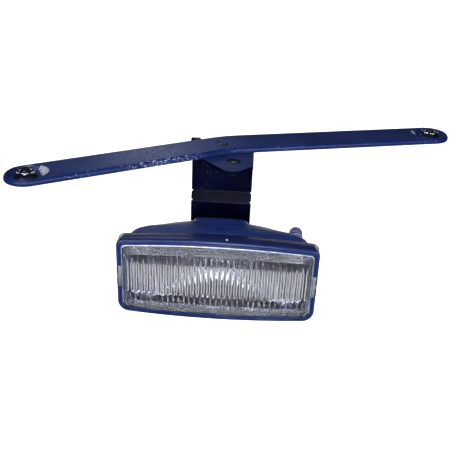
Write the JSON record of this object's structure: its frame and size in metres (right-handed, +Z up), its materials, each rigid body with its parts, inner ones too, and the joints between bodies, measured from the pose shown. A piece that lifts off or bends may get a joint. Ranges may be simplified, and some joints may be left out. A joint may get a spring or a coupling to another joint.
{
  "type": "fog light",
  "caption": "Rectangular fog light hung by a bent steel bracket from a bent mounting bar, with tilt pivot, aimed reflector, spring clips and twist-in bulb.",
  "frame": {"origin": "on the bar's top face, over the hanger bracket's drop plate and in the lamp's middle plane", "axes": "+X to the right seen from the lamp's front, +Z up, the lamp shines towards -Y"},
  "size_m": [0.3605, 0.1732, 0.1254],
  "materials": {
    "bar_paint": "gloss black paint with a blue cast",
    "bracket_paint": "satin black paint",
    "black_zinc": "black zinc",
    "zinc": "bright zinc",
    "housing_plastic": "gloss moulded",
    "bezel_plastic": "gloss moulded",
    "lens_glass": "clear pressed",
    "seal_rubber": "matt",
    "spring_steel": "bright",
    "mirror_coat": "vacuum-metallised",
    "knob_plastic": "fine-textured",
    "bulb_glass": "clear",
    "tungsten": "drawn wire",
    "bulb_plastic": "moulded",
    "tinned_copper": "tinned",
    "nylon": "natural nylon"
  },
  "bodies": {
    "mount": {"mounting_bar": "bar_paint", "end_bolt_left": "black_zinc", "end_bolt_right": "black_zinc", "end_nut_left": "black_zinc", "end_nut_right": "black_zinc", "bar_screw": "black_zinc", "bar_nut": "black_zinc", "hanger_bracket": "bracket_paint", "tab_screw": "black_zinc", "tab_nut": "black_zinc", "pivot_bolt_left": "black_zinc", "pivot_bolt_right": "black_zinc"},
    "lamp": {"rear_housing": "housing_plastic", "front_bezel": "bezel_plastic", "lens": "lens_glass", "lens_seal": "seal_rubber", "lens_clip_left": "spring_steel", "lens_clip_right": "spring_steel", "vent_cap": "seal_rubber", "bulb_boot": "seal_rubber", "aim_bush": "nylon", "pivot_washer_left": "nylon", "pivot_washer_right": "nylon", "pivot_nut_left": "zinc", "pivot_nut_right": "zinc"},
    "aim_drive": {"aim_screw": "zinc", "aim_knob": "knob_plastic"},
    "mirror": {"reflector": "mirror_coat", "aim_nut": "nylon"},
    "bulb": {"bulb_base": "bulb_plastic", "bulb_glass": "bulb_glass", "bulb_filament": "tungsten", "bulb_lead_left": "tungsten", "bulb_lead_right": "tungsten", "bulb_seal": "seal_rubber", "terminal_left": "tinned_copper", "terminal_right": "tinned_copper"}
  },
  "joints": [
    {"name": "lamp_tilt", "type": "hinge", "parent": "mount", "child": "lamp", "pos_m": [-0.0024, -0.024, -0.1117], "axis": [1, 0, 0], "range_deg": [-8, 8]},
    {"name": "aim_knob_turn", "type": "hinge", "parent": "lamp", "child": "aim_drive", "pos_m": [0.063, -0.047, -0.0636], "axis": [0, 1, 0], "range_deg": [-740, 740]},
    {"name": "reflector_aim", "type": "hinge", "parent": "lamp", "child": "mirror", "pos_m": [0, -0.0785, -0.1092], "axis": [1, 0, 0], "range_deg": [-2.8, 2.8]},
    {"name": "bulb_turn", "type": "hinge", "parent": "mirror", "child": "bulb", "pos_m": [0, -0.042, -0.0872], "axis": [0, 1, 0], "range_deg": [0, 30]}
  ],
  "couplings": [
    {"joint": "aim_knob_turn", "follows": "reflector_aim", "ratio": 263}
  ]
}
